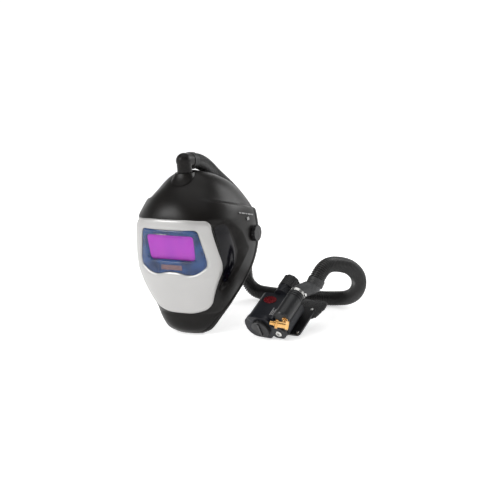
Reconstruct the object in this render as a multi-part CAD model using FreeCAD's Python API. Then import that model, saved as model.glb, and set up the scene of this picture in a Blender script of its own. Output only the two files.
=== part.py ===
"""Air-fed welding shield with a breathing tube and a belt-worn regulator, one STEP file per piece.

Lengths are millimetres, +Z is up and the shield faces -Y. Everything is modelled in the shield's frame, whose
X = 0 plane is the shield's mirror plane, and moved at the end so that the origin is at the middle of the footprint.
The belt unit is modelled in a frame of its own: X across, Y from its control knob to its hose end, Z outward.
"""
import FreeCAD, Part
import math
import os

V = FreeCAD.Vector
X_AXIS = V(1, 0, 0)
Y_AXIS = V(0, 1, 0)
Z_AXIS = V(0, 0, 1)

# ---- driving dimensions -------------------------------------------------------------------------------------
SHELL_WALL = 3.0
SHELL_BODY = [            # height, half width, front, rear, roundness exponent of each level of the shell
    (0, 43, -104, -50, 2.0), (12, 57, -118, -30, 2.1), (45, 78, -125, 0, 2.3), (80, 93, -136, 30, 2.6),
    (120, 107, -146, 60, 2.9), (160, 113.5, -150, 80, 3.0), (200, 114, -154, 88, 2.9), (240, 108, -157, 84, 2.7),
    (262, 98, -150, 74, 2.5), (285, 82, -134, 56, 2.3), (305, 63, -112, 27, 2.2), (320, 43, -91, -6, 2.1),
    (331, 20, -68, -42, 2.0)]
TAPER_START = 240         # above this level the wall thickness also acts downward
SHELL_TOP = 331
RIM = [(-96, -2), (-92, 12), (-83, 39), (-37, 92), (-3, 133), (16, 165), (25, 187), (29, 215), (30, 240),
       (36, 262), (48, 285), (60, 305), (72, 318)]

FRONT_OUTLINE = [(-40, 251), (40, 251), (77, 247), (84, 239), (98, 160), (97, 142), (68, 70), (56, 58), (30, 50),
                 (-30, 50), (-56, 58), (-68, 70), (-97, 142), (-98, 160), (-84, 239), (-77, 247)]
FRONT_THICK = 2.4
LENS_OUTLINE = [(-62, 230), (62, 230), (76, 165), (74, 152), (53, 139), (34, 136), (12, 142), (-12, 142),
                (-34, 136), (-53, 139), (-74, 152), (-76, 165)]
WINDOW_WIDE = 107.0
WINDOW_HIGH = 52.0
FILTER_Y = -144.0
FILTER_Z = 192.0
FILTER_LEAN = 9.0
SIDE_WINDOW = [(-121, 226), (-101, 230), (-92, 222), (-77, 172), (-80, 146), (-97, 116), (-108, 128), (-112, 160)]

PIVOT_Z = 195.0
PIVOT_R = 5.0
RUNNING = 0.06            # radial clearance of every turning or sliding fit
BOSS_FACE = 114.6
KNOB_THICK = 7.0

BAND_TILT = -20.0         # the headband's front stands higher than its nape
BAND_A = 81.0
BAND_B = 94.0
BAND_HIGH = 26.0
BAND_CENTRE = V(0, 4, 195)

TUBE_OD = 32.0
ELBOW_AT = V(0, -74, 355)
ELBOW_FOOT = V(0, -72, 312)
ELBOW_SLOPE = 9.0         # fall of the tube where it leaves the elbow, degrees
TUBE_ROUTE = [            # from the crown elbow, down behind the shield, along the floor and up in a loop
    (0, -20.4, 346.5), (-10, 32, 327), (-28, 102, 292), (-16, 138, 259), (4, 158, 222), (17, 168, 190),
    (18, 172, 150), (9, 166, 110), (3, 161, 75), (6, 159, 43), (26, 158, 19), (62, 157, 16), (118, 152, 16),
    (176, 158, 16), (218, 164, 16), (257, 158, 23), (285, 138, 50), (297, 112, 86), (292, 80, 114), (280, 51, 127),
    (268, 24, 133), (259.5, 1.1, 125.9)]

UNIT_AT = V(152.7, -81, 0)
UNIT_YAW = -8.0
UNIT_PITCH = 28.0
UNIT_LONG = 78.0
UNIT_WALL = 3.0
HOUSING_OUTLINE = [(-20, 1), (-20, 50), (44, 50), (49, 36), (72, 36), (72, 5), (42, 4), (37, 9), (31, 1)]
HOUSING_RADII = [20, 16, 7, 6, 11, 11, 5, 6, 5]
CAP_OUTLINE = [(-22, 0), (-22, 56), (38, 56), (43, 34), (70, 34), (70, 5), (44, 5), (38, 10), (32, 0)]
CAP_RADII = [26, 27, 26, 7, 13, 13, 5, 6, 8]
CAP_THICK = 9.4
CONTROL_AT = (17, 29)     # X, Z of the control knob's axis in the unit's frame
CONTROL_R = 20.0
BARREL_AT = (64, 50)
BARREL_R = 17.5
BARREL_Y = (12.0, 80.0)
RELIEF_AT = (28, 45)      # axis of the faceted knob at the hose end
RELIEF_Y = 97.0
LOBE_AT = (55, 19)        # middle of the end cap's small lobe
OUTLET_TURN = V(64, 90, 50)
OUTLET_BEND = V(89, 112, 51)
OUTLET_END = V(91.2, 125.2, 57.2)
COUPLING_AT = V(74, -3, 50)        # where the supply coupling's axis crosses its stem
SUPPLY_WAY = V(-0.8, -0.35, 0.45)  # the way its nipple points, clear of the end cap
NIPPLE_OUT = 24.0
NIPPLE_R = 4.0
NIPPLE_LONG = 7.0


# ---- helpers ------------------------------------------------------------------------------------------------
def corner(before, here, after, radius):
    """The start, middle and end of the arc that rounds a corner, and its radius."""
    to_before = before - here
    to_after = after - here
    shorter = min(to_before.Length, to_after.Length)
    to_before.normalize()
    to_after.normalize()
    turn = math.pi - to_before.getAngle(to_after)
    radius = min(radius, 0.45 * shorter / math.tan(turn / 2))
    back = radius * math.tan(turn / 2)
    middle_way = to_before + to_after
    middle_way.normalize()
    middle = here + middle_way * (radius / math.cos(turn / 2) - radius)
    return here + to_before * back, middle, here + to_after * back, radius


def rounded_wire(points, radii, closed=True):
    """Straight runs joined by tangent arcs."""
    count = len(points)
    inner = range(count) if closed else range(1, count - 1)
    arcs = [corner(points[i - 1], points[i], points[(i + 1) % count], radii[i]) for i in inner]
    ends = [(a[0], a[2]) for a in arcs]
    stops = [end for pair in ends for end in pair]
    stops = stops[1:] + stops[:1] if closed else [points[0]] + stops + [points[-1]]
    runs = [Part.LineSegment(stops[i], stops[i + 1]).toShape() for i in range(0, len(stops), 2)]
    bends = [Part.Arc(a[0], a[1], a[2]).toShape() for a in arcs]
    edges = []
    for i in range(max(len(runs), len(bends))):
        first, second = (bends, runs) if closed else (runs, bends)
        edges += [group[i] for group in (first, second) if i < len(group)]
    return Part.Wire(edges), [a[3] for a in arcs]


def flat(points, radii, place):
    """A rounded face from pairs of numbers, each put in space by the function place."""
    if not isinstance(radii, list):
        radii = [radii] * len(points)
    wire, _ = rounded_wire([place(a, b) for a, b in points], radii)
    return Part.Face(wire)


def grown(points, amount):
    """An outline moved outward by an amount, for points that go round in either direction."""
    count = len(points)
    area = sum(points[i - 1][0] * points[i][1] - points[i][0] * points[i - 1][1] for i in range(count))
    side = 1 if area > 0 else -1
    moved = []
    for i in range(count):
        (ax, ay), (bx, by), (cx, cy) = points[i - 1], points[i], points[(i + 1) % count]
        first = math.hypot(bx - ax, by - ay)
        second = math.hypot(cx - bx, cy - by)
        nx, ny = side * (by - ay) / first, -side * (bx - ax) / first
        mx, my = side * (cy - by) / second, -side * (cx - bx) / second
        scale = amount / (1 + nx * mx + ny * my)
        moved.append((bx + (nx + mx) * scale, by + (ny + my) * scale))
    return moved


def through_y(points, radius, start, end):
    return flat(points, radius, lambda x, z: V(x, start, z)).extrude(V(0, end - start, 0))


def through_x(points, radius, start, end):
    return flat(points, radius, lambda y, z: V(start, y, z)).extrude(V(end - start, 0, 0))


def through_z(points, radius, start, end):
    return flat(points, radius, lambda x, y: V(x, y, start)).extrude(V(0, 0, end - start))


def box(x0, x1, y0, y1, z0, z1):
    return Part.makeBox(x1 - x0, y1 - y0, z1 - z0, V(x0, y0, z0))


def rod(start, end, radius):
    way = end - start
    return Part.makeCylinder(radius, way.Length, start, way)


def pipe(start, end, outer, bore):
    return rod(start, end, outer).cut(rod(start, end, bore))


def turned(profile, at, axis):
    """A solid of revolution: pairs of distance along the axis and radius, closed on the axis itself."""
    points = [V(0, 0, profile[0][0])] + [V(r, 0, a) for a, r in profile] + [V(0, 0, profile[-1][0])]
    face = Part.Face(Part.makePolygon(points + points[:1]))
    solid = face.revolve(V(0, 0, 0), Z_AXIS, 360)
    solid.Placement = FreeCAD.Placement(at, FreeCAD.Rotation(Z_AXIS, axis))
    return solid


def ribbed_knob(at, axis, radius, height, flutes, flute_r):
    """A knob with a chamfered top and flutes cut round its edge."""
    chamfer = 1.2
    knob = turned([(0, radius), (height - chamfer, radius), (height, radius - chamfer)], V(0, 0, 0), Z_AXIS)
    for i in range(flutes):
        angle = 2 * math.pi * i / flutes
        foot = V((radius + flute_r * 0.45) * math.cos(angle), (radius + flute_r * 0.45) * math.sin(angle), 1.5)
        knob = knob.cut(Part.makeCylinder(flute_r, height, foot))
    knob.Placement = FreeCAD.Placement(at, FreeCAD.Rotation(Z_AXIS, axis))
    return knob


def group(shapes):
    """Separate solids kept in one node."""
    return Part.makeCompound(list(shapes))


def mirrored(shape):
    return shape.mirror(V(0, 0, 0), X_AXIS)


# ---- shell surface ------------------------------------------------------------------------------------------
def level_wire(z, half_width, front, rear, exponent, grow):
    """One level of the shell: a rounded oval, moved outward by grow."""
    a = half_width + grow
    b = (rear - front) / 2 + grow
    middle = (rear + front) / 2
    lift = grow * max(0.0, (z - TAPER_START) / (SHELL_TOP - TAPER_START))
    count = 40
    points = []
    for i in range(count):
        angle = 2 * math.pi * (i + 0.5) / count
        c, s = math.cos(angle), math.sin(angle)
        reach = (abs(c / a) ** exponent + abs(s / b) ** exponent) ** (-1 / exponent)
        points.append(V(reach * c, middle + reach * s, z + lift))
    curve = Part.BSplineCurve()
    curve.interpolate(Points=points, PeriodicFlag=True)
    return Part.Wire(curve.toShape())


SKINS = {}


def skin(grow, open_foot=False):
    """The solid inside the shell's surface moved outward by grow, once per size."""
    key = (grow, open_foot)
    if key not in SKINS:
        levels = list(SHELL_BODY)
        solid = Part.makeLoft([level_wire(*level, grow) for level in levels], True, False)
        if open_foot:
            foot = Part.Face(level_wire(*levels[0], grow)).extrude(V(0, 0, -6))
            solid = solid.fuse(foot)
        SKINS[key] = solid
    return SKINS[key].copy()


def between(outer, inner):
    """The wall between two moved surfaces."""
    return skin(outer).cut(skin(inner, True))


def behind_rim(forward=0.0):
    """Everything behind the shell's rear rim, or behind that rim moved forward."""
    curve = Part.BSplineCurve()
    curve.interpolate([V(-160, y - forward, z) for y, z in RIM])
    last = RIM[-1]
    first = RIM[0]
    corners = [V(-160, last[0] - forward, last[1]), V(-160, 200, last[1]), V(-160, 200, first[1] - 6),
               V(-160, first[0] - forward, first[1] - 6), V(-160, first[0] - forward, first[1])]
    edges = [curve.toShape()]
    edges += [Part.LineSegment(corners[i], corners[i + 1]).toShape() for i in range(4)]
    return Part.Face(Part.Wire(edges)).extrude(V(320, 0, 0))


def side_cut(amount, side):
    """The side window's prism on one side of the shell."""
    prism = through_x(grown(SIDE_WINDOW, amount), 5, 60, 140)
    return prism if side > 0 else mirrored(prism)


# ---- shield -------------------------------------------------------------------------------------------------
def shield_shell():
    shell = between(0, -SHELL_WALL).cut(behind_rim())
    shell = shell.cut(through_y(grown(LENS_OUTLINE, 0.3), 6, -180, -100))
    for side in (1, -1):
        shell = shell.cut(side_cut(0.3, side))
        boss = rod(V(side * 106, 0, PIVOT_Z), V(side * BOSS_FACE, 0, PIVOT_Z), 19)
        bore = rod(V(side * 100, 0, PIVOT_Z), V(side * 120, 0, PIVOT_Z), PIVOT_R + RUNNING)
        shell = shell.fuse(boss).cut(bore)
    return shell.cut(rod(ELBOW_FOOT, ELBOW_AT, 15.2))


def silver_front():
    panel = between(0.2 + FRONT_THICK, 0.2).common(through_y(FRONT_OUTLINE, 9, -190, -60))
    return panel.cut(through_y(grown(LENS_OUTLINE, 0.6), 6, -190, -60))


def window_prism(amount):
    half, high = WINDOW_WIDE / 2 + amount, WINDOW_HIGH / 2 + amount
    outline = [(-half, FILTER_Z - high), (half, FILTER_Z - high), (half, FILTER_Z + high),
               (-half, FILTER_Z + high)]
    return through_y(outline, 6, -190, -100)


SENSOR_AT = 65.0
STRIP_HALF = 24.0


def lens_frame():
    frame = between(1.2, -1.8).common(through_y(grown(LENS_OUTLINE, -0.2), 6, -190, -100))
    frame = frame.cut(window_prism(0.5))
    frame = frame.cut(box(-STRIP_HALF - 0.2, STRIP_HALF + 0.2, -190, -100, 146.8, 157.2))
    for side in (1, -1):
        frame = frame.cut(rod(V(side * SENSOR_AT, -190, 182), V(side * SENSOR_AT, -100, 182), 3.2))
    return frame


def outer_protection_plate():
    return between(2.5, 1.5).common(through_y(grown(LENS_OUTLINE, -0.2), 6, -190, -100))


def tilted(shape):
    """Puts a piece of the filter cartridge, modelled about its glass, in its leaning place."""
    shape.Placement = FreeCAD.Placement(V(0, FILTER_Y, FILTER_Z), FreeCAD.Rotation(X_AXIS, FILTER_LEAN))
    return shape


def plate(half, y0, y1, z0, z1, radius):
    return through_y([(-half, z0), (half, z0), (half, z1), (-half, z1)], radius, y0, y1)


def filter_glass():
    return tilted(plate(WINDOW_WIDE / 2, -1.5, 1.5, -WINDOW_HIGH / 2, WINDOW_HIGH / 2, 5))


BUTTON_X = (-17.0, 0.0, 17.0)
POCKET_Z = (-50.0, -28.0)
COVER_Y = (13.2, 15.0)


def filter_housing():
    frame = plate(59, 2.6, 15, -52, 30, 5)
    frame = frame.cut(plate(50, 0, 20, -23, 23, 4))
    return tilted(frame.cut(plate(56, 6, 20, POCKET_Z[0], POCKET_Z[1], 3)))


def housing_cover():
    cover = plate(55.8, COVER_Y[0], COVER_Y[1], POCKET_Z[0] + 0.2, POCKET_Z[1] - 0.2, 2.8)
    for x in BUTTON_X:
        cover = cover.cut(rod(V(x, 10, -39), V(x, 20, -39), 3.0 + RUNNING))
    return tilted(cover)


def filter_button(x):
    stem = rod(V(x, 11.2, -39), V(x, 17.4, -39), 3.0)
    return tilted(stem.fuse(rod(V(x, 11.2, -39), V(x, 12.9, -39), 4.2)))


def circuit_board():
    return tilted(plate(31, 7, 8.2, POCKET_Z[0] + 1, POCKET_Z[1] - 1, 1))


def coin_cells():
    return group(tilted(rod(V(side * 44, 7, -39), V(side * 44, 10.2, -39), 10)) for side in (1, -1))


def battery_holders():
    holders = []
    for side in (1, -1):
        tray = plate(11, 6.3, 12.8, POCKET_Z[0] + 0.4, POCKET_Z[1] - 0.4, 2)
        tray.translate(V(side * 44, 0, 0))
        holders.append(tilted(tray.cut(rod(V(side * 44, 6.9, -39), V(side * 44, 14, -39), 10.2))))
    return group(holders)


def inner_protection_plate():
    return tilted(plate(57, 15.3, 16.3, -26, 28, 4))


def solar_strip():
    return box(-STRIP_HALF, STRIP_HALF, -150.0, -148.4, 147, 157)


def arc_sensors():
    return group(rod(V(side * SENSOR_AT, -144.2, 182), V(side * SENSOR_AT, -140, 182), 3.0) for side in (1, -1))


def side_window(side):
    return between(-0.6, -2.6).common(side_cut(-0.1, side))


COWL_LEVELS = [(288, 38, -126, -34), (308, 31, -108, -44), (322, 24, -96, -53), (331, 19.6, -91, -53.5)]


def crown_cowl():
    """A hood that rises from the crown to a collar round the elbow's leg."""
    levels = [level_wire(z, half, front, rear, 2.4, 0) for z, half, front, rear in COWL_LEVELS]
    cowl = Part.makeLoft(levels, True, False).cut(skin(0.2))
    return cowl.cut(rod(ELBOW_FOOT, ELBOW_AT, 15.2))


def air_duct():
    lane = through_z([(-32, -150), (32, -150), (26, -60), (-26, -60)], 8, 262, 340)
    walls = between(-3.4, -14).common(lane)
    narrow = through_z([(-30, -152), (30, -152), (24, -62), (-24, -62)], 8, 260, 340)
    channel = between(-5.2, -12.2).common(narrow)
    return walls.cut(channel).cut(rod(ELBOW_FOOT, ELBOW_AT, 15.2))


def face_seal():
    """A soft strip round the lower inside of the rim."""
    strip = between(-3.4, -6.4).cut(behind_rim(6))
    strip = strip.common(behind_rim(44))
    return strip.common(box(-140, 140, -140, 60, 8, 160))


ELBOW_WAY = V(0, math.cos(math.radians(ELBOW_SLOPE)), -math.sin(math.radians(ELBOW_SLOPE)))
ELBOW_MOUTH = ELBOW_AT + ELBOW_WAY * 20
CUFF_END = ELBOW_MOUTH + ELBOW_WAY * 16


def inlet_elbow():
    outside = Part.makeSphere(16, ELBOW_AT).fuse(rod(ELBOW_FOOT, ELBOW_AT, 15))
    outside = outside.fuse(rod(ELBOW_AT, ELBOW_MOUTH, 16))
    inside = Part.makeSphere(12.4, ELBOW_AT).fuse(rod(ELBOW_FOOT + (ELBOW_FOOT - ELBOW_AT) * 0.1, ELBOW_AT, 12.4))
    inside = inside.fuse(rod(ELBOW_AT, ELBOW_MOUTH + ELBOW_WAY, 12.4))
    return outside.cut(inside)


def tube_cuff_top():
    cuff = pipe(ELBOW_MOUTH, CUFF_END, 17.4, 12.6)
    for i in range(3):
        start = ELBOW_MOUTH + ELBOW_WAY * (4 + 4 * i)
        cuff = cuff.cut(pipe(start, start + ELBOW_WAY * 1.4, 20, 16.6))
    return cuff


def pivot_knob(side):
    way = V(side, 0, 0)
    face = V(side * (BOSS_FACE + 0.4), 0, PIVOT_Z)
    knob = ribbed_knob(face, way, 17, KNOB_THICK, 14, 2.2)
    bolt_end = V(side * 84.2, 0, PIVOT_Z)
    bore = rod(face - way, face + way * 4, PIVOT_R)
    return knob.cut(bore), rod(bolt_end, face + way * 4, PIVOT_R)


# ---- headgear -----------------------------------------------------------------------------------------------
def worn(shape):
    """Puts a piece of the headband, modelled level about its centre, in its tilted place."""
    shape.Placement = FreeCAD.Placement(BAND_CENTRE, FreeCAD.Rotation(X_AXIS, BAND_TILT))
    return shape


def oval_ring(outer_grow, thickness, low, high):
    """An upright oval band about the origin."""
    rings = []
    for grow in (outer_grow, outer_grow - thickness):
        ellipse = Part.Ellipse(V(0, 0, low), BAND_B + grow, BAND_A + grow)
        ellipse.AngleXU = math.pi / 2
        rings.append(Part.Face(Part.Wire(ellipse.toShape())).extrude(V(0, 0, high - low)))
    return rings[0].cut(rings[1])


def headband_front():
    band = oval_ring(0, 2, -BAND_HIGH / 2, BAND_HIGH / 2).common(box(-120, 120, -120, 34, -20, 20))
    return worn(band)


def headband_rear():
    band = oval_ring(2.4, 2, -BAND_HIGH / 2 + 3, BAND_HIGH / 2 - 3).common(box(-120, 120, 6, 120, -20, 20))
    return worn(band.cut(rod(V(0, 80, 0), V(0, 120, 0), 6.2)))


def sweatband():
    return worn(oval_ring(-2.3, 9, -17, 17).common(box(-120, 120, -120, -34, -20, 20)))


def nape_pad():
    pad = oval_ring(0.1, 8, -20, 20).common(box(-120, 120, 60, 120, -22, 22))
    return worn(pad.cut(rod(V(0, 80, 0), V(0, 120, 0), 6.6)))


RATCHET_Y = 96.8


def ratchet_housing():
    case = through_y([(-34, -13), (34, -13), (34, 13), (-34, 13)], 9, RATCHET_Y, RATCHET_Y + 7)
    hub = rod(V(0, RATCHET_Y, 0), V(0, RATCHET_Y + 7, 0), 18)
    case = case.fuse(hub)
    case = case.cut(rod(V(0, RATCHET_Y - 1, 0), V(0, RATCHET_Y + 9, 0), 4.0 + RUNNING))
    return worn(case.cut(rod(V(0, RATCHET_Y - 1, 0), V(0, RATCHET_Y + 5, 0), 8.6)))


def ratchet_knob():
    knob = ribbed_knob(V(0, RATCHET_Y + 7.3, 0), Y_AXIS, 16, 6.5, 16, 1.8)
    return worn(knob.fuse(rod(V(0, RATCHET_Y + 4.9, 0), V(0, RATCHET_Y + 7.5, 0), 4.0)))


def ratchet_pinion():
    teeth = 12
    gear = rod(V(0, RATCHET_Y + 0.4, 0), V(0, RATCHET_Y + 4.8, 0), 6.4)
    for i in range(teeth):
        tooth = box(-0.8, 0.8, RATCHET_Y + 0.4, RATCHET_Y + 4.8, 5.5, 8.0)
        tooth.rotate(V(0, 0, 0), Y_AXIS, 360 * i / teeth)
        gear = gear.fuse(tooth)
    return worn(gear)


def crown_strap(lean):
    """A strap over the head, leaning back by an angle about the pivots."""
    rings = []
    for grow in (0, -1.6):
        ellipse = Part.Ellipse(V(0, -7, PIVOT_Z), 96 + grow, 85.4 + grow)
        face = Part.Face(Part.Wire(ellipse.toShape()))
        face.rotate(V(0, -7, PIVOT_Z), X_AXIS, 90)
        face.rotate(V(0, -7, PIVOT_Z), Y_AXIS, 90)
        rings.append(face.extrude(V(0, 14, 0)))
    strap = rings[0].cut(rings[1]).common(box(-120, 120, -20, 20, PIVOT_Z + 24, PIVOT_Z + 120))
    strap.rotate(V(0, 0, PIVOT_Z), X_AXIS, -lean)
    return strap


def tilt_bracket(side):
    inner, outer = 85.8, 88.8
    arm = rod(V(inner, 0, PIVOT_Z), V(outer, 0, PIVOT_Z), 18)
    foot = through_x([(-14, PIVOT_Z - 8), (14, PIVOT_Z - 8), (9, PIVOT_Z + 23), (-9, PIVOT_Z + 23)], 4, inner, outer)
    hub = rod(V(inner, 0, PIVOT_Z), V(105.6, 0, PIVOT_Z), 9)
    bracket = arm.fuse(foot).fuse(hub).cut(rod(V(80, 0, PIVOT_Z), V(110, 0, PIVOT_Z), PIVOT_R + RUNNING))
    return bracket if side > 0 else mirrored(bracket)


# ---- belt unit ----------------------------------------------------------------------------------------------
UNIT_TURN = FreeCAD.Rotation(Z_AXIS, UNIT_YAW).multiply(FreeCAD.Rotation(X_AXIS, UNIT_PITCH))
UNIT_PLACE = FreeCAD.Placement(UNIT_AT, UNIT_TURN)


def on_unit(shape):
    """Moves a piece of the belt unit from the unit's frame to the shield's."""
    shape = shape.copy()
    shape.Placement = UNIT_PLACE.multiply(shape.Placement)
    return shape


def at_xz(centre, y):
    return V(centre[0], y, centre[1])


def unit_housing():
    solid = through_y(HOUSING_OUTLINE, HOUSING_RADII, CAP_THICK + 0.3, UNIT_LONG)
    hollow = through_y(grown(HOUSING_OUTLINE, -UNIT_WALL), [max(r - UNIT_WALL, 1.5) for r in HOUSING_RADII],
                       0, UNIT_LONG - UNIT_WALL)
    housing = solid.cut(hollow)
    housing = housing.cut(rod(at_xz(RELIEF_AT, 60), at_xz(RELIEF_AT, 90), 4.0 + RUNNING))
    barrel_room = rod(at_xz(BARREL_AT, 0), at_xz(BARREL_AT, 100), BARREL_R + 0.4)
    return housing.cut(barrel_room)


def end_cap():
    cap = through_y(CAP_OUTLINE, CAP_RADII, 0, CAP_THICK)
    cap = cap.cut(rod(at_xz(CONTROL_AT, 2.5), at_xz(CONTROL_AT, -2), CONTROL_R + 0.8))
    cap = cap.cut(rod(at_xz(CONTROL_AT, -2), at_xz(CONTROL_AT, 20), 4.0 + RUNNING))
    cap = cap.cut(rod(at_xz(LOBE_AT, -2), at_xz(LOBE_AT, 20), 7.2))
    return cap


def control_knob():
    knob = ribbed_knob(at_xz(CONTROL_AT, 2.0), V(0, -1, 0), CONTROL_R, 9.0, 24, 1.3)
    grip = box(CONTROL_AT[0] - 2, CONTROL_AT[0] + 2, -9.2, -7.0, CONTROL_AT[1] - 15, CONTROL_AT[1] + 15)
    return knob.fuse(grip).fuse(rod(at_xz(CONTROL_AT, 2.0), at_xz(CONTROL_AT, 30), 4.0))


def silencer():
    plug = turned([(0, 5.5), (1.5, 7), (18, 7)], at_xz(LOBE_AT, -3), Y_AXIS)
    return plug.cut(rod(at_xz(LOBE_AT, -4), at_xz(LOBE_AT, -1), 3.0))


def back_plate():
    return through_z([(-18, 20), (84, 20), (84, 100), (-18, 100)], 8, -4.4, -0.4)


def barrel():
    start, end = BARREL_Y
    profile = [(0, 14.5), (2.5, BARREL_R - 1.2), (5, BARREL_R - 0.4), (50, BARREL_R - 0.4)]
    for i in range(3):
        rise = 51.5 + 5 * i
        profile += [(rise, BARREL_R), (rise + 2.6, BARREL_R), (rise + 3.4, BARREL_R - 1.6), (rise + 4.2, BARREL_R - 1.6)]
    profile += [(end - start, 16.0)]
    body = turned(profile, at_xz(BARREL_AT, start), Y_AXIS)
    return body.cut(rod(at_xz(BARREL_AT, start + 3), at_xz(BARREL_AT, end + 1), 12.6))


def charcoal_cartridge():
    return turned([(0, 10.6), (2, 12.2), (52, 12.2), (54, 10.6)], at_xz(BARREL_AT, BARREL_Y[0] + 6), Y_AXIS)


def steel_clamp():
    start = BARREL_Y[1] + 0.3
    ring = pipe(at_xz(BARREL_AT, start), at_xz(BARREL_AT, start + 6), 17.2, 15.3)
    ear = box(BARREL_AT[0] + 15.8, BARREL_AT[0] + 21.5, start + 0.6, start + 5.4, BARREL_AT[1] - 1, BARREL_AT[1] + 5)
    return ring.fuse(ear)


def hose_outlet():
    foot = at_xz(BARREL_AT, BARREL_Y[1] + 0.3)
    lane = (OUTLET_END - OUTLET_BEND).normalize()
    neck_end = OUTLET_BEND + lane * 1.2
    outside = rod(foot, OUTLET_TURN, 15.0).fuse(Part.makeSphere(15.0, OUTLET_TURN))
    outside = outside.fuse(rod(OUTLET_TURN, OUTLET_BEND, 15.0)).fuse(Part.makeSphere(15.0, OUTLET_BEND))
    outside = outside.common(rod(neck_end, neck_end - lane * 80, 60)).fuse(rod(OUTLET_BEND, neck_end, 15.0))
    inside = rod(foot - Y_AXIS, OUTLET_TURN, 11.5).fuse(Part.makeSphere(11.5, OUTLET_TURN))
    inside = inside.fuse(rod(OUTLET_TURN, OUTLET_BEND, 11.5)).fuse(Part.makeSphere(11.5, OUTLET_BEND))
    clamp_room = pipe(foot, at_xz(BARREL_AT, BARREL_Y[1] + 6.6), 40, 15.0)
    return outside.cut(inside).cut(rod(OUTLET_BEND, OUTLET_END, 11.5)).cut(clamp_room)


def tube_cuff_bottom():
    lane = (OUTLET_END - OUTLET_BEND).normalize()
    start = OUTLET_BEND + lane * 1.3
    cuff = pipe(start, OUTLET_END, 17.4, 12.6)
    return cuff.cut(pipe(start + lane * 5, start + lane * 6.2, 20, 16.6))


def relief_collar():
    collar = pipe(at_xz(RELIEF_AT, UNIT_LONG + 0.2), at_xz(RELIEF_AT, RELIEF_Y - 0.4), 16.5, 4.0 + RUNNING)
    for i in range(4):
        start = UNIT_LONG + 3.0 + 3.8 * i
        collar = collar.cut(pipe(at_xz(RELIEF_AT, start), at_xz(RELIEF_AT, start + 1.4), 20, 15.2))
    return collar


def relief_knob():
    knob = ribbed_knob(at_xz(RELIEF_AT, RELIEF_Y), Y_AXIS, 18, 28, 10, 4.0)
    return knob.fuse(rod(at_xz(RELIEF_AT, UNIT_LONG - 14), at_xz(RELIEF_AT, RELIEF_Y), 4.0))


def valve_seat():
    return pipe(V(28, UNIT_LONG - 23, 36), V(28, UNIT_LONG - 14.3, 36), 9, 2.5)


def diaphragm():
    return rod(V(12, 46, 27), V(12, 48, 27), 14)


def regulator_spring():
    """The closed sleeve that the spring fills."""
    return pipe(V(12, 33, 27), V(12, 45.6, 27), 8, 6)


def towards_supply(shape):
    """Puts a piece of the coupling, modelled along X about its stem, in its leaning place."""
    lean = FreeCAD.Placement(COUPLING_AT, FreeCAD.Rotation(V(-1, 0, 0), SUPPLY_WAY))
    shape.Placement = lean.multiply(shape.Placement)
    return shape


def coupling_body():
    """Brass body with a hexagon, on a stem at the unit's front, with its nipple end open."""
    hexagon = []
    for i in range(6):
        angle = math.pi / 3 * i
        hexagon.append((9.5 * math.cos(angle), 9.5 * math.sin(angle)))
    nut = through_x(hexagon, 0.6, 7, 13.5)
    core = towards_supply(nut.fuse(rod(V(-13.5, 0, 0), V(8, 0, 0), 6.6)))
    stem = rod(COUPLING_AT, COUPLING_AT + V(0, 14.5, 0), 4.2)
    flange = rod(COUPLING_AT + V(0, 12.9, 0), COUPLING_AT + V(0, 14.7, 0), 6.0)
    body = core.fuse(stem).fuse(flange)
    return body.cut(towards_supply(rod(V(-24, 0, 0), V(14, 0, 0), 3.0)))


def coupling_sleeve():
    start, end = -13.0, -7.6
    sleeve = pipe(V(start, 0, 0), V(end, 0, 0), 9.6, 6.6 + RUNNING)
    for i in range(2):
        groove = start + 1.2 + 2.0 * i
        sleeve = sleeve.cut(pipe(V(groove, 0, 0), V(groove + 1.0, 0, 0), 12, 9.0))
    return towards_supply(sleeve)


def supply_nipple():
    """The plug of the supply line's coupling half, with its open narrow end outward."""
    profile = [(0, NIPPLE_R - 0.6), (0.6, NIPPLE_R), (NIPPLE_LONG, NIPPLE_R), (7.8, 5.2), (10.2, 5.2), (10.21, 2.6),
               (13.6, 2.6)]
    body = turned(profile, V(-NIPPLE_OUT, 0, 0), X_AXIS)
    return towards_supply(body.cut(rod(V(-26, 0, 0), V(-8, 0, 0), 1.8)))


def oval_badge():
    ellipse = Part.Ellipse(V(13, 58, 50.1), 15, 9.5)
    return Part.Face(Part.Wire(ellipse.toShape())).extrude(V(0, 0, 1.0))


def marking_bars():
    """Plain raised bars of uneven length."""
    bars = []
    for i, length in enumerate((20, 14, 17)):
        bars.append(box(33 + 3.4 * i, 34.6 + 3.4 * i, 18, 18 + length, 50.1, 50.6))
    return group(bars)


def unit_screws():
    heads = []
    for x, y in ((78, 27), (78, 93), (-11, 92)):
        heads.append(turned([(0, 3.6), (1.4, 3.6), (2.2, 2.4)], V(x, y, -0.3), Z_AXIS))
    return group(heads)


def belt_pad():
    """The padded part of the waist belt, lying flat against the back plate."""
    return through_z([(-14, 72), (91, 72), (103, 112), (99, 132), (-14, 132)], 11, -14.4, -4.8)


def belt_roll():
    """The rest of the waist belt, folded under the unit, cut by the floor."""
    roll = on_unit(through_z([(-16, 84), (28, 84), (28, 128), (-16, 128)], 9, -90, -14.8))
    below_floor = box(0, 400, -200, 300, -200, 0)
    return roll.cut(below_floor)


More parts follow.
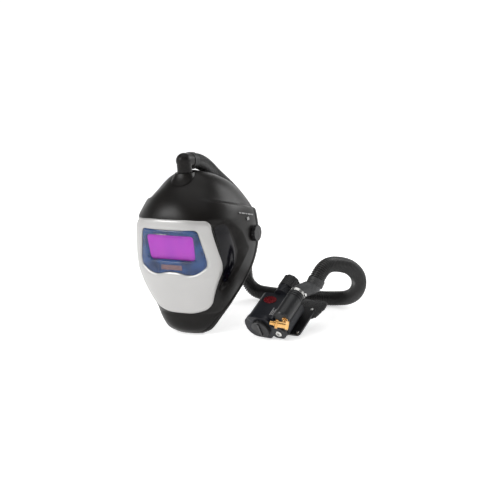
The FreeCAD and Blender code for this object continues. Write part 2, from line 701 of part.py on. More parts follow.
# ---- breathing tube -----------------------------------------------------------------------------------------
def breathing_tube():
    """Straight runs joined by tangent arcs, with the radii printed."""
    start = CUFF_END + ELBOW_WAY * 0.3
    outlet_way = UNIT_TURN.multVec(OUTLET_END - OUTLET_BEND).normalize()
    end = UNIT_PLACE.multVec(OUTLET_END) + outlet_way * 0.3
    print("tube ends", start, end, "outlet way", outlet_way)
    points = [start] + [V(*p) for p in TUBE_ROUTE] + [end]
    route, radii = rounded_wire(points, [1e6] * len(points), closed=False)
    way = points[1] - points[0]
    circle = Part.Wire(Part.Edge(Part.Circle(start, way, TUBE_OD / 2)))
    tube = route.makePipeShell([circle], True, False)
    length = route.Length
    section = math.pi * TUBE_OD ** 2 / 4
    print("tube radii", [round(r) for r in radii])
    print("tube length %.1f volume ratio %.4f" % (length, tube.Volume / (section * length)))
    return tube


# ---- assembly -----------------------------------------------------------------------------------------------
def build():
    nodes = {
        "shield_shell": shield_shell(), "silver_front": silver_front(), "lens_frame": lens_frame(),
        "outer_protection_plate": outer_protection_plate(), "filter_glass": filter_glass(),
        "filter_housing": filter_housing(), "housing_cover": housing_cover(), "circuit_board": circuit_board(),
        "coin_cells": coin_cells(), "battery_holders": battery_holders(),
        "inner_protection_plate": inner_protection_plate(), "solar_strip": solar_strip(),
        "arc_sensors": arc_sensors(), "crown_cowl": crown_cowl(), "air_duct": air_duct(), "face_seal": face_seal(),
        "inlet_elbow": inlet_elbow(), "tube_cuff_top": tube_cuff_top(),
        "headband_front": headband_front(), "headband_rear": headband_rear(), "sweatband": sweatband(),
        "nape_pad": nape_pad(), "ratchet_housing": ratchet_housing(), "ratchet_knob": ratchet_knob(),
        "ratchet_pinion": ratchet_pinion(), "crown_straps": group(crown_strap(lean) for lean in (8, -24)),
        "tilt_brackets": group(tilt_bracket(side) for side in (1, -1)),
    }
    for name, x in zip(("shade_button", "sensitivity_button", "delay_button"), BUTTON_X):
        nodes[name] = filter_button(x)
    for name, side in (("left", 1), ("right", -1)):
        nodes["side_window_" + name] = side_window(side)
        nodes["pivot_knob_" + name], nodes["pivot_bolt_" + name] = pivot_knob(side)
    unit = {
        "unit_housing": unit_housing(), "end_cap": end_cap(), "control_knob": control_knob(),
        "silencer": silencer(), "back_plate": back_plate(), "barrel": barrel(),
        "charcoal_cartridge": charcoal_cartridge(), "steel_clamp": steel_clamp(), "hose_outlet": hose_outlet(),
        "tube_cuff_bottom": tube_cuff_bottom(), "relief_collar": relief_collar(), "relief_knob": relief_knob(),
        "valve_seat": valve_seat(), "diaphragm": diaphragm(), "regulator_spring": regulator_spring(),
        "coupling_body": coupling_body(), "coupling_sleeve": coupling_sleeve(),
        "supply_nipple": supply_nipple(), "oval_badge": oval_badge(), "marking_bars": marking_bars(),
        "unit_screws": unit_screws(), "belt_pad": belt_pad(),
    }
    for name, shape in unit.items():
        nodes[name] = on_unit(shape)
    nodes["belt_roll"] = belt_roll()
    nodes["breathing_tube"] = breathing_tube()
    return nodes


CORDS = ("breathing_tube",)


def write(nodes):
    os.makedirs("parts", exist_ok=True)
    whole = FreeCAD.BoundBox()
    for name, shape in nodes.items():
        if name not in CORDS:
            whole.add(shape.optimalBoundingBox(False))
    shift = V(-(whole.XMin + whole.XMax) / 2, -(whole.YMin + whole.YMax) / 2, -whole.ZMin)
    print("footprint", whole, "shift", shift)
    for name, shape in nodes.items():
        shape = shape.copy()
        shape.translate(shift)
        shape.exportStep("parts/%s.step" % name)


write(build())
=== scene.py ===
"""Looks of the air-fed welding shield with its breathing tube and belt unit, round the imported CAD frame.

Lengths in the shape code are millimetres in the shield's own frame, where X = 0 is the mirror plane and the
shield faces -Y. at() turns them into metres in the frame's coordinates. The belt unit has its own tilted
frame, on_unit(), and so has the headband, on_band().
"""
import bpy
import bmesh
import math
import numpy as np
from mathutils import Matrix, Vector


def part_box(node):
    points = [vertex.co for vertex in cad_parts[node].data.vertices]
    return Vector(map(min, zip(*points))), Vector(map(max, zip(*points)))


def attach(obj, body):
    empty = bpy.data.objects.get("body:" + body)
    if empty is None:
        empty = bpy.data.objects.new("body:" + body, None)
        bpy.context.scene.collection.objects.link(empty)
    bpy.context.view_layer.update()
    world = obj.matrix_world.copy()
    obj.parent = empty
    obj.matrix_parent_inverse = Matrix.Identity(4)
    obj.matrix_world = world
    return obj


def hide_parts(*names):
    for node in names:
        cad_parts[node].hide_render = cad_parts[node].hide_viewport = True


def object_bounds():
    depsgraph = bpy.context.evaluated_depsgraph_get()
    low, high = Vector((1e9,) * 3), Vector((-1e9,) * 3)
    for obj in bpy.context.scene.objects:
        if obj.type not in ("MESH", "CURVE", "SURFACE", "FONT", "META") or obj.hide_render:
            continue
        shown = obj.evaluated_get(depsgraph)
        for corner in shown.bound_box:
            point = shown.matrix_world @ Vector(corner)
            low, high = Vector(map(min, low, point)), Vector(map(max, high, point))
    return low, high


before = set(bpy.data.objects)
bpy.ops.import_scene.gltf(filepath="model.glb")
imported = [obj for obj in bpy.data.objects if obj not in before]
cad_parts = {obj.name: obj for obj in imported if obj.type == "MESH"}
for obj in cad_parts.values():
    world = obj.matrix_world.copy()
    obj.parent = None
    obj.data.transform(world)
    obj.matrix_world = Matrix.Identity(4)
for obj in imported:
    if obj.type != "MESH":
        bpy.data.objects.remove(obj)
CAD_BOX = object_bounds()
MM = 0.001

# ---- places, from the frame ----------------------------------------------------------------------
PIVOT_Z = 195.0
left_low, left_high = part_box("pivot_bolt_left")
right_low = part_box("pivot_bolt_right")[0]
ORIGIN = Vector(((left_high.x + right_low.x) / 2, (left_low.y + left_high.y) / 2,
                 (left_low.z + left_high.z) / 2 - PIVOT_Z * MM))
UNIT_YAW, UNIT_PITCH = math.radians(-8), math.radians(28)
UNIT_SPOT = (152.7, -81, 0)


def at(x, y, z):
    """A point of the shield's own frame, in metres in the frame's coordinates."""
    return ORIGIN + Vector((x, y, z)) * MM


UNIT_TURN = Matrix.Rotation(UNIT_YAW, 4, "Z") @ Matrix.Rotation(UNIT_PITCH, 4, "X")
UNIT_PLACE = Matrix.Translation(at(*UNIT_SPOT)) @ UNIT_TURN


def on_unit(x, y, z):
    """A point of the belt unit's own frame, in metres in the frame's coordinates."""
    return UNIT_PLACE @ Vector((x * MM, y * MM, z * MM))


# ---- shell surface -------------------------------------------------------------------------------
SHELL_LEVELS = np.array([      # height, half width, front, rear, roundness exponent
    (0, 43, -104, -50, 2.0), (12, 57, -118, -30, 2.1), (45, 78, -125, 0, 2.3), (80, 93, -136, 30, 2.6),
    (120, 107, -146, 60, 2.9), (160, 113.5, -150, 80, 3.0), (200, 114, -154, 88, 2.9),
    (240, 108, -157, 84, 2.7), (262, 98, -150, 74, 2.5), (285, 82, -134, 56, 2.3), (305, 63, -112, 27, 2.2),
    (320, 43, -91, -6, 2.1), (331, 20, -68, -42, 2.0)], float)
RIM = np.array([               # the face opening's edge from the side: Y, height
    (-96, -2), (-92, 12), (-83, 39), (-37, 92), (-3, 133), (16, 165), (25, 187), (29, 215), (30, 240),
    (36, 262), (48, 285), (60, 305), (72, 318), (80, 332)], float)
SHELL_WALL = 3.0


def natural_spline(knots, values):
    """A smooth curve through the values, as a function of the knots' parameter."""
    knots = np.asarray(knots, float)
    values = np.asarray(values, float)
    count = len(knots)
    gaps = np.diff(knots)
    system = np.eye(count)
    right = np.zeros_like(values)
    for i in range(1, count - 1):
        system[i, i - 1:i + 2] = gaps[i - 1], 2 * (gaps[i - 1] + gaps[i]), gaps[i]
        right[i] = 6 * ((values[i + 1] - values[i]) / gaps[i] - (values[i] - values[i - 1]) / gaps[i - 1])
    bend = np.linalg.solve(system, right)

    def curve(t):
        t = np.asarray(t, float)
        i = np.clip(np.searchsorted(knots, t) - 1, 0, count - 2)
        h = gaps[i]
        a = (knots[i + 1] - t) / h
        b = (t - knots[i]) / h
        h2 = h * h / 6
        if values.ndim > 1:
            a, b, h2 = a[..., None], b[..., None], h2[..., None]
        return a * values[i] + b * values[i + 1] + ((a ** 3 - a) * bend[i] + (b ** 3 - b) * bend[i + 1]) * h2
    return curve


steps = np.linalg.norm(np.diff(SHELL_LEVELS[:, :4], axis=0), axis=1)
LEVEL_KNOTS = np.concatenate([[0], np.cumsum(steps)])
LEVEL_KNOTS /= LEVEL_KNOTS[-1]
level_curve = natural_spline(LEVEL_KNOTS, SHELL_LEVELS)
rim_curve = natural_spline(RIM[:, 1], RIM[:, 0])
FINE_T = np.linspace(0, 1, 2000)
FINE_Z = np.maximum.accumulate(level_curve(FINE_T)[:, 0])


def t_of_z(z):
    """The level curve's parameter at a height."""
    return np.interp(z, FINE_Z, FINE_T)


def bare_surface(t, theta):
    """Points of the bare shell surface. Theta is the angle round each level, -90 degrees at the front."""
    level = level_curve(t)
    z, half, front, rear, power = (level[..., i] for i in range(5))
    depth = (rear - front) / 2
    c, s = np.cos(theta), np.sin(theta)
    reach = (np.abs(c / half) ** power + np.abs(s / depth) ** power) ** (-1 / power)
    return np.stack([reach * c, (rear + front) / 2 + reach * s, z], -1)


def surface_normal(t, theta):
    """Outward unit normals of the bare surface."""
    small = 1e-3
    round_way = bare_surface(t, theta + small) - bare_surface(t, theta - small)
    up_way = bare_surface(np.clip(t + small, 0, 1), theta) - bare_surface(np.clip(t - small, 0, 1), theta)
    normal = np.cross(round_way, up_way)
    return normal / np.maximum(np.linalg.norm(normal, axis=-1, keepdims=True), 1e-9)


def front_theta(x, t):
    """The angle at which a level's front side has this X."""
    level = level_curve(t)
    half, front, rear, power = (level[..., i] for i in range(1, 5))
    across = np.clip(np.abs(x) / half, 0, 0.9999)
    y = -(rear - front) / 2 * (1 - across ** power) ** (1 / power)
    return np.arctan2(y, x)


def side_theta(y, t):
    """The angle at which a level's +X side has this Y."""
    level = level_curve(t)
    half, front, rear, power = (level[..., i] for i in range(1, 5))
    along = (y - (rear + front) / 2) / ((rear - front) / 2)
    x = half * (1 - np.clip(np.abs(along), 0, 1) ** power) ** (1 / power)
    return np.arctan2(along * (rear - front) / 2, x)


def smooth(low, high, value):
    """0 below low, 1 above high, and an eased step between."""
    share = np.clip((value - low) / (high - low), 0, 1)
    return share * share * (3 - 2 * share)


def polygon_distance(y, z, corners):
    """Distance to an outline and whether each point is inside it."""
    nearest = np.full(np.shape(y), 1e9)
    inside = np.zeros(np.shape(y), bool)
    for (ay, az), (by, bz) in zip(corners, corners[1:] + corners[:1]):
        run_y, run_z = by - ay, bz - az
        share = np.clip(((y - ay) * run_y + (z - az) * run_z) / (run_y ** 2 + run_z ** 2), 0, 1)
        nearest = np.minimum(nearest, np.hypot(y - ay - share * run_y, z - az - share * run_z))
        crosses = (az > z) != (bz > z)
        with np.errstate(divide="ignore", invalid="ignore"):
            inside ^= crosses & (y < (by - ay) * (z - az) / (bz - az) + ay)
    return nearest, inside


# The side recess: its outer edge and its floor, as Y and height.
RECESS_TOP = [(-133, 249), (-95, 243), (-54, 214), (-27, 169), (-68, 137), (-110, 99), (-116, 104),
              (-114, 142), (-118, 160)]
RECESS_FLOOR = [(-127, 234), (-100, 236), (-84, 222), (-66, 172), (-72, 143), (-96, 112), (-109, 112),
                (-111, 142), (-115, 160)]
RECESS_DEEP = 7.5
RIDGE_DROP, RIDGE_SWELL = 3.2, 1.6
RIM_BAND = 1.7
CHIN_GROOVE, CHIN_SWELL = 1.4, 1.5


def relief(points):
    """How far the moulded shell stands proud of, or under, the bare surface."""
    x, y, z = (points[..., i] for i in range(3))
    top_distance, in_top = polygon_distance(y, z, RECESS_TOP)
    floor_distance, in_floor = polygon_distance(y, z, RECESS_FLOOR)
    floor_distance = np.where(in_floor, 0, floor_distance)
    share = np.where(in_top, top_distance / (top_distance + floor_distance + 1e-6), 0)
    height = -RECESS_DEEP * np.clip(share * 1.06 - 0.03, 0, 1) * (np.abs(x) > 60)
    # A step down above the ridge over the temples, and a swell just under it. Both start behind the brow.
    above_ridge = z - (279 - 0.31 * (y + 100))
    behind_brow = smooth(-122, -78, y)
    height -= RIDGE_DROP * smooth(0, 6, above_ridge) * behind_brow * (1 - smooth(20, 62, above_ridge))
    height += RIDGE_SWELL * (1 - smooth(0, 26, -above_ridge)) * behind_brow * (1 - smooth(0, 4, above_ridge))
    # A raised band along the rim, rounded off at the edge and ending below the crown.
    to_rim = rim_curve(z) - y
    round_off = 1 - smooth(0.0, 1.5, 1.5 - to_rim)
    height += RIM_BAND * (1 - smooth(9, 12, to_rim)) * (1 - smooth(236, 262, z)) * round_off
    # A groove and a swell across the chin, clear of the rim's band.
    height -= CHIN_GROOVE * np.exp(-((z - 46) / 4.0) ** 2) * (to_rim > 14)
    height += CHIN_SWELL * np.exp(-((z - 26) / 13.0) ** 2) * (to_rim > 14)
    return height * smooth(0, 12, z)


# ---- mesh helpers --------------------------------------------------------------------------------
def add_mesh(name, points, faces, material):
    """A smooth-shaded mesh object from metre points."""
    mesh = bpy.data.meshes.new(name)
    mesh.from_pydata([tuple(p) for p in points], [], faces)
    mesh.validate()
    made = bpy.data.objects.new(name, mesh)
    bpy.context.scene.collection.objects.link(made)
    mesh.materials.append(material)
    set_smooth(made)
    return made


def set_smooth(made, sharp_degrees=40):
    """Smooth shading, with edges at more than this angle kept sharp."""
    shape = bmesh.new()
    shape.from_mesh(made.data)
    bmesh.ops.recalc_face_normals(shape, faces=shape.faces)
    for face in shape.faces:
        face.smooth = True
    limit = math.radians(sharp_degrees)
    for edge in shape.edges:
        edge.smooth = len(edge.link_faces) != 2 or edge.calc_face_angle(0) < limit
    shape.to_mesh(made.data)
    shape.free()


def weld(made, distance):
    """Joins points closer than a distance in metres and turns the faces outward."""
    shape = bmesh.new()
    shape.from_mesh(made.data)
    bmesh.ops.remove_doubles(shape, verts=shape.verts, dist=distance)
    bmesh.ops.recalc_face_normals(shape, faces=shape.faces)
    shape.to_mesh(made.data)
    shape.free()


def grid_faces(rows, columns, wrap=False, start=0):
    """Quads of a grid of points numbered row by row; wrap joins the last column to the first."""
    faces = []
    for r in range(rows - 1):
        for c in range(columns if wrap else columns - 1):
            d = (c + 1) % columns
            faces.append((start + r * columns + c, start + r * columns + d,
                          start + (r + 1) * columns + d, start + (r + 1) * columns + c))
    return faces


def two_sided_faces(rows, columns):
    """Faces of a closed pad: a grid of points, a second grid behind it, and a strip round both edges."""
    count = rows * columns
    faces = grid_faces(rows, columns)
    faces += [face[::-1] for face in grid_faces(rows, columns, start=count)]
    rim = list(range(columns))
    rim += [r * columns + columns - 1 for r in range(1, rows)]
    rim += [(rows - 1) * columns + c for c in range(columns - 2, -1, -1)]
    rim += [r * columns for r in range(rows - 2, 0, -1)]
    for i, first in enumerate(rim):
        second = rim[(i + 1) % len(rim)]
        faces.append((first, count + first, count + second, second))
    return faces


def to_world(points):
    """Points of the shield's own frame in metres in the frame's coordinates."""
    return np.asarray(points, float) * MM + np.array(ORIGIN)


def modify(made, kind, **settings):
    """Adds a modifier with these settings."""
    modifier = made.modifiers.new(kind.lower(), kind)
    for key, value in settings.items():
        setattr(modifier, key, value)
    return modifier


def apply_modifiers(made):
    """Turns an object's modifiers into its mesh."""
    bpy.context.view_layer.update()
    evaluated = made.evaluated_get(bpy.context.evaluated_depsgraph_get())
    mesh = bpy.data.meshes.new_from_object(evaluated)
    made.modifiers.clear()
    made.data = mesh
    return made


def rounded(corners, radius, per_corner=8):
    """A closed outline with each corner replaced by a tangent arc-like curve."""
    outline = []
    count = len(corners)
    for i in range(count):
        before, here, after = (np.array(corners[(i + k) % count], float) for k in (-1, 0, 1))
        back, ahead = before - here, after - here
        cut = min(radius, 0.45 * np.linalg.norm(back), 0.45 * np.linalg.norm(ahead))
        first = here + back / np.linalg.norm(back) * cut
        last = here + ahead / np.linalg.norm(ahead) * cut
        for s in np.linspace(0, 1, per_corner):
            outline.append((1 - s) ** 2 * first + 2 * s * (1 - s) * here + s * s * last)
    return np.array(outline)


def around(outline, centre, count):
    """The outline's points at evenly spaced directions from a centre inside it."""
    rel = outline - np.array(centre)
    angle = np.unwrap(np.arctan2(rel[:, 1], rel[:, 0]))
    if angle[-1] < angle[0]:
        rel, angle = rel[::-1], angle[::-1]
    full_turn = 2 * math.pi
    three_turns = np.concatenate([angle - full_turn, angle, angle + full_turn])
    rel = np.concatenate([rel, rel, rel])
    wanted = np.linspace(0, full_turn, count, endpoint=False)
    found = np.stack([np.interp(wanted, three_turns, rel[:, i]) for i in range(2)], 1)
    return found + np.array(centre)


def on_front(xz, out):
    """Shield-frame points over the shell's front for X, Z pairs, standing out by a distance."""
    t = t_of_z(xz[..., 1])
    theta = front_theta(xz[..., 0], t)
    return bare_surface(t, theta) + surface_normal(t, theta) * np.asarray(out)[..., None]


def on_side(yz, side, out):
    """Shield-frame points over the shell's +X side, or -X where side is -1, for Y, Z pairs."""
    t = t_of_z(yz[..., 1])
    theta = side_theta(yz[..., 0], t)
    points = bare_surface(t, theta) + surface_normal(t, theta) * np.asarray(out)[..., None]
    points[..., 0] *= side
    return points


def ring_piece(name, inner, outer, top, bottom, material, place=on_front):
    """A closed collar between two outlines. Top and bottom give its height at each share of the way out."""
    shares = np.concatenate([np.linspace(0, 0.5, 14), np.linspace(0.5, 1, 14)[1:]])
    edge = np.array([0, 0.004, 0.012, 0.03, 0.06])
    shares = np.unique(np.concatenate([edge, shares, 1 - edge]))
    xz = inner[None] * (1 - shares[:, None, None]) + outer[None] * shares[:, None, None]
    upper = place(xz, np.broadcast_to(top(shares, xz), xz.shape[:2]))
    lower = place(xz, np.broadcast_to(bottom(shares, xz), xz.shape[:2]))
    rows, columns = xz.shape[:2]
    points = to_world(np.concatenate([upper.reshape(-1, 3), lower.reshape(-1, 3)]))
    faces = grid_faces(rows, columns, True)
    faces += [face[::-1] for face in grid_faces(rows, columns, True, rows * columns)]
    base = rows * columns
    for row in (0, rows - 1):
        for c in range(columns):
            d = (c + 1) % columns
            quad = (row * columns + c, base + row * columns + c, base + row * columns + d, row * columns + d)
            faces.append(quad if row == 0 else quad[::-1])
    return add_mesh(name, points, faces, material)


def patch_piece(name, outline, centre, top, thick, material, place):
    """A closed patch inside an outline. Top gives its height at each share of the way outward."""
    shares = np.array([0.02, 0.3, 0.55, 0.75, 0.88, 0.95, 0.98, 1.0])
    middle = np.array(centre, float)
    xz = middle + (outline[None] - middle) * shares[:, None, None]
    upper = place(xz, np.broadcast_to(top(shares)[:, None], xz.shape[:2]))
    lower = place(xz, np.full(xz.shape[:2], top(np.array([1.0]))[0] - thick))
    rows, columns = xz.shape[:2]
    points = to_world(np.concatenate([upper.reshape(-1, 3), lower.reshape(-1, 3)]))
    faces = grid_faces(rows, columns, True)
    faces += [face[::-1] for face in grid_faces(rows, columns, True, rows * columns)]
    base = rows * columns
    last = (rows - 1) * columns
    for c in range(columns):
        d = (c + 1) % columns
        faces.append((last + c, last + d, base + last + d, base + last + c))
    faces.append(tuple(range(columns))[::-1])
    faces.append(tuple(range(base, base + columns)))
    return add_mesh(name, points, faces, material)


# ---- materials -----------------------------------------------------------------------------------
MIX_FIRST, MIX_SECOND, MIX_RESULT = 6, 7, 2      # a Mix node's colour sockets


def finish(name, dark, light, rough, metallic=0.0, coat=0.0, coat_rough=0.1, speckle=900.0, patches=25.0,
           bump=0.15, bump_scale=1500.0, wear=0.0, wear_colour=(0.3, 0.3, 0.3), stretch=(1, 1, 1), weave=0.0,
           sheen=0.0, alpha=1.0, specular=0.5, glow=0.0):
    """A node material: broad patches and a fine grain of colour, roughness, bump, worn edges and a weave."""
    material = bpy.data.materials.new(name)
    material.use_nodes = True
    tree = material.node_tree
    tree.nodes.clear()
    link = tree.links.new
    output = tree.nodes.new("ShaderNodeOutputMaterial")
    shader = tree.nodes.new("ShaderNodeBsdfPrincipled")
    link(shader.outputs[0], output.inputs[0])
    shader.inputs["Metallic"].default_value = metallic
    shader.inputs["Coat Weight"].default_value = coat
    shader.inputs["Coat Roughness"].default_value = coat_rough
    shader.inputs["Sheen Weight"].default_value = sheen
    shader.inputs["Alpha"].default_value = alpha
    shader.inputs["Specular IOR Level"].default_value = specular
    shader.inputs["Emission Color"].default_value = (1, 1, 1, 1)
    shader.inputs["Emission Strength"].default_value = glow
    place = tree.nodes.new("ShaderNodeTexCoord")
    mapping = tree.nodes.new("ShaderNodeMapping")
    mapping.inputs["Scale"].default_value = stretch
    link(place.outputs["Object"], mapping.inputs[0])

    def noise_node(scale, detail):
        made = tree.nodes.new("ShaderNodeTexNoise")
        made.inputs["Scale"].default_value = scale
        made.inputs["Detail"].default_value = detail
        link(mapping.outputs[0], made.inputs["Vector"])
        return made.outputs["Fac"]

    def math_node(kind, first, second):
        made = tree.nodes.new("ShaderNodeMath")
        made.operation = kind
        for socket, value in zip(made.inputs, (first, second)):
            if isinstance(value, (int, float)):
                socket.default_value = value
            else:
                link(value, socket)
        return made.outputs[0]

    broad = noise_node(patches, 3)
    grain = noise_node(speckle, 2)
    blend = math_node("ADD", math_node("MULTIPLY", broad, 0.65), math_node("MULTIPLY", grain, 0.35))
    ramp = tree.nodes.new("ShaderNodeValToRGB")
    ramp.color_ramp.elements[0].position = 0.35
    ramp.color_ramp.elements[0].color = (*dark, 1)
    ramp.color_ramp.elements[1].position = 0.66
    ramp.color_ramp.elements[1].color = (*light, 1)
    link(blend, ramp.inputs[0])
    colour = ramp.outputs[0]
    height = noise_node(bump_scale, 3)
    if weave:
        waves = []
        for direction in ("X", "Z"):
            wave = tree.nodes.new("ShaderNodeTexWave")
            wave.bands_direction = direction
            wave.inputs["Scale"].default_value = weave
            wave.inputs["Distortion"].default_value = 0.6
            link(mapping.outputs[0], wave.inputs["Vector"])
            waves.append(wave.outputs["Fac"])
        woven = math_node("MULTIPLY", waves[0], waves[1])
        height = math_node("ADD", math_node("MULTIPLY", woven, 0.8), math_node("MULTIPLY", height, 0.2))
        darker = tree.nodes.new("ShaderNodeMix")
        darker.data_type = "RGBA"
        darker.blend_type = "MULTIPLY"
        darker.inputs["Factor"].default_value = 0.6
        link(colour, darker.inputs[MIX_FIRST])
        link(woven, darker.inputs[MIX_SECOND])
        colour = darker.outputs[MIX_RESULT]
    if wear:
        geometry = tree.nodes.new("ShaderNodeNewGeometry")
        edges = tree.nodes.new("ShaderNodeMapRange")
        edges.inputs["From Min"].default_value = 0.53
        edges.inputs["From Max"].default_value = 0.62
        edges.inputs["To Max"].default_value = wear
        link(geometry.outputs["Pointiness"], edges.inputs["Value"])
        rubbed = tree.nodes.new("ShaderNodeMix")
        rubbed.data_type = "RGBA"
        link(math_node("MULTIPLY", edges.outputs[0], grain), rubbed.inputs["Factor"])
        link(colour, rubbed.inputs[MIX_FIRST])
        rubbed.inputs[MIX_SECOND].default_value = (*wear_colour, 1)
        colour = rubbed.outputs[MIX_RESULT]
    link(colour, shader.inputs["Base Color"])
    range_node = tree.nodes.new("ShaderNodeMapRange")
    range_node.inputs["To Min"].default_value = max(rough - 0.07, 0.02)
    range_node.inputs["To Max"].default_value = min(rough + 0.09, 1)
    link(broad, range_node.inputs["Value"])
    link(range_node.outputs[0], shader.inputs["Roughness"])
    if bump:
        bumps = tree.nodes.new("ShaderNodeBump")
        bumps.inputs["Strength"].default_value = bump
        bumps.inputs["Distance"].default_value = 0.0004
        link(height, bumps.inputs["Height"])
        link(bumps.outputs[0], shader.inputs["Normal"])
    return material


SHELL_BLACK = finish("shell_black", (0.0030, 0.0026, 0.0024), (0.0065, 0.0055, 0.0048), 0.35, bump=0.10,
                     wear=0.06, specular=0.18)
SILVER = finish("silver_paint", (0.40, 0.395, 0.388), (0.47, 0.465, 0.457), 0.38, metallic=0.4, coat=0.2,
                coat_rough=0.2, speckle=4200.0, patches=6.0, bump=0.05, bump_scale=3800.0)
LENS_BLUE = finish("lens_blue", (0.0025, 0.014, 0.058), (0.014, 0.066, 0.22), 0.18, coat=0.25,
                   coat_rough=0.06, speckle=60.0, patches=42.0, bump=0.03, bump_scale=300.0, specular=0.4)
GLASS_PURPLE = finish("filter_purple", (0.36, 0.040, 0.46), (0.48, 0.055, 0.50), 0.16, speckle=300.0,
                      patches=38.0, bump=0.0, stretch=(1, 1, 0.05), specular=0.3)
CLEAR = finish("clear_cover", (0.05, 0.07, 0.12), (0.09, 0.12, 0.2), 0.05, speckle=200.0, bump=0.02,
               alpha=0.06)
SIDE_GLASS = finish("side_glass", (0.001, 0.001, 0.002), (0.003, 0.003, 0.006), 0.12, bump=0.02,
                    specular=0.25)
INNER_BLACK = finish("inner_plastic", (0.018, 0.018, 0.019), (0.032, 0.032, 0.034), 0.55, bump=0.3,
                     bump_scale=2200.0, wear=0.15)
KNOB_BLACK = finish("knob_plastic", (0.006, 0.006, 0.0065), (0.014, 0.014, 0.015), 0.42, bump=0.25,
                    bump_scale=2600.0, wear=0.25, specular=0.35)
CUFF_BLACK = finish("cuff_rubber", (0.010, 0.010, 0.010), (0.024, 0.024, 0.025), 0.5, bump=0.3, wear=0.15)
OUTLET_GREY = finish("outlet_plastic", (0.016, 0.0165, 0.017), (0.060, 0.061, 0.063), 0.42, bump=0.5,
                     bump_scale=900.0, wear=0.4, patches=60.0, specular=0.35)
HOSE_RUBBER = finish("hose_rubber", (0.003, 0.0028, 0.0027), (0.009, 0.0087, 0.0084), 0.34, bump=0.15,
                     wear=0.12, specular=0.6)
UNIT_BLACK = finish("unit_plastic", (0.004, 0.0045, 0.0065), (0.010, 0.0115, 0.016), 0.40, bump=0.35,
                    bump_scale=1700.0, wear=0.3, specular=0.3)
BARREL_GREY = finish("barrel_plastic", (0.009, 0.0095, 0.010), (0.017, 0.0175, 0.0185), 0.32, bump=0.08,
                     wear=0.2, stretch=(1, 0.15, 1), specular=0.35)
PLATE_BLACK = finish("plate_coating", (0.006, 0.006, 0.007), (0.014, 0.014, 0.015), 0.45, metallic=0.1,
                     bump=0.4, bump_scale=1300.0, wear=0.5)
STEEL = finish("bright_steel", (0.50, 0.50, 0.49), (0.72, 0.72, 0.70), 0.22, metallic=1.0, bump=0.12,
               stretch=(1, 6, 1), wear=0.3, wear_colour=(0.9, 0.9, 0.9))
BRASS = finish("turned_brass", (0.52, 0.27, 0.08), (0.85, 0.52, 0.20), 0.20, metallic=1.0, bump=0.14,
               stretch=(8, 1, 1), wear=0.5, wear_colour=(1.0, 0.8, 0.5))
BADGE_RED = finish("badge_red", (0.035, 0.001, 0.002), (0.15, 0.006, 0.010), 0.25, coat=0.3, patches=120.0,
                   bump=0.05)
MARK_WHITE = finish("mark_print", (0.20, 0.20, 0.20), (0.36, 0.36, 0.36), 0.6, bump=0.1, patches=200.0)
SOLAR_RED = finish("solar_cells", (0.10, 0.045, 0.05), (0.22, 0.10, 0.09), 0.3, coat=0.6, patches=120.0,
                   bump=0.05)
BOARD_GREEN = finish("solder_mask", (0.01, 0.08, 0.03), (0.03, 0.16, 0.07), 0.35, coat=0.4, bump=0.2)
FOAM_BLACK = finish("band_fleece", (0.016, 0.016, 0.018), (0.045, 0.045, 0.05), 0.9, sheen=0.4, bump=0.9,
                    bump_scale=1100.0, weave=700.0)
SEAL_CLOTH = finish("seal_cloth", (0.012, 0.012, 0.014), (0.035, 0.035, 0.038), 0.85, sheen=0.3, bump=0.8,
                    weave=900.0)
BELT_CLOTH = finish("belt_nylon", (0.008, 0.008, 0.009), (0.026, 0.026, 0.028), 0.75, sheen=0.25, bump=1.0,
                    weave=620.0)
CHARCOAL = finish("charcoal", (0.01, 0.01, 0.01), (0.03, 0.03, 0.03), 0.9, bump=1.0, bump_scale=700.0)


# ---- camera, at the photograph's angle -----------------------------------------------------------
CAMERA_TURN, CAMERA_LIFT, CAMERA_ROLL = 27, 14, 3        # degrees
CAMERA_AIM = (110, 10, 150)
CAMERA_DISTANCE = 2.4
CAMERA_LENS, CAMERA_SENSOR = 83.08, 36
CAMERA_SHIFT_X, CAMERA_SHIFT_Y = -0.0125, 0.0055


def make_camera():
    """The camera, turned towards the shield's left, lifted and slightly rolled."""
    turn, lift, roll = (math.radians(angle) for angle in (CAMERA_TURN, CAMERA_LIFT, CAMERA_ROLL))
    right = Vector((math.cos(turn), math.sin(turn), 0))
    up = Vector((-math.sin(turn) * math.sin(lift), math.cos(turn) * math.sin(lift), math.cos(lift)))
    back = Vector((math.sin(turn) * math.cos(lift), -math.cos(turn) * math.cos(lift), math.sin(lift)))
    camera_right = right * math.cos(roll) - up * math.sin(roll)
    camera_up = right * math.sin(roll) + up * math.cos(roll)
    data = bpy.data.cameras.new("camera")
    camera = bpy.data.objects.new("camera", data)
    bpy.context.scene.collection.objects.link(camera)
    camera.matrix_world = Matrix((
        (camera_right.x, camera_up.x, back.x, 0), (camera_right.y, camera_up.y, back.y, 0),
        (camera_right.z, camera_up.z, back.z, 0), (0, 0, 0, 1)))
    camera.location = at(*CAMERA_AIM) + back * CAMERA_DISTANCE
    data.sensor_width = CAMERA_SENSOR
    data.lens = CAMERA_LENS
    data.shift_x = CAMERA_SHIFT_X
    data.shift_y = CAMERA_SHIFT_Y
    data.clip_end = 30
    bpy.context.scene.camera = camera


